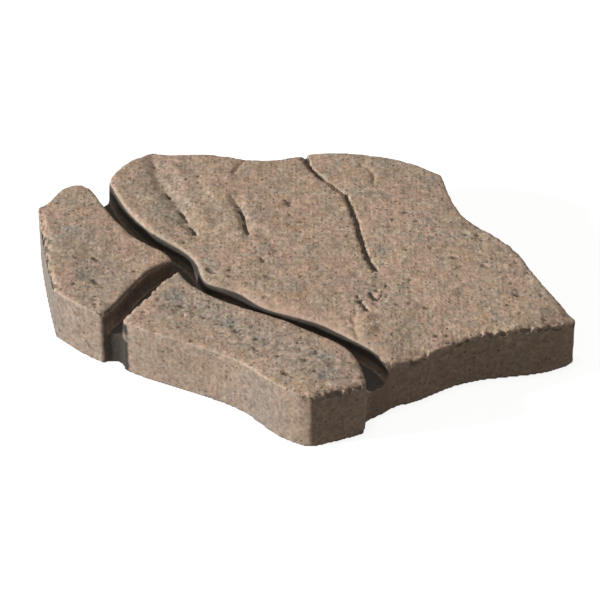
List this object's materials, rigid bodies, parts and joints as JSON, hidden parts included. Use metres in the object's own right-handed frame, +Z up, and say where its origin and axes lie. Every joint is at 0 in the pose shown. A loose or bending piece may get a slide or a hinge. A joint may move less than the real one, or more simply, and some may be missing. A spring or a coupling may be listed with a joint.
{
  "type": "concrete paving slab",
  "caption": "Irregular cast concrete paving slab with a riven face, false joints that make it look like separate flagstones, and a flat bedding face.",
  "frame": {"origin": "on the flat bedding face, under the centre of the outline's box", "axes": "+X along the slab's longest extent, towards the main stone's pointed end; +Y towards the main stone's back edge; +Z up, out of the riven face"},
  "size_m": [0.5458, 0.4284, 0.063],
  "materials": {
    "concrete": "rough riven tan and grey concrete"
  },
  "bodies": {
    "root": {"paving_slab": "concrete"}
  },
  "joints": []
}
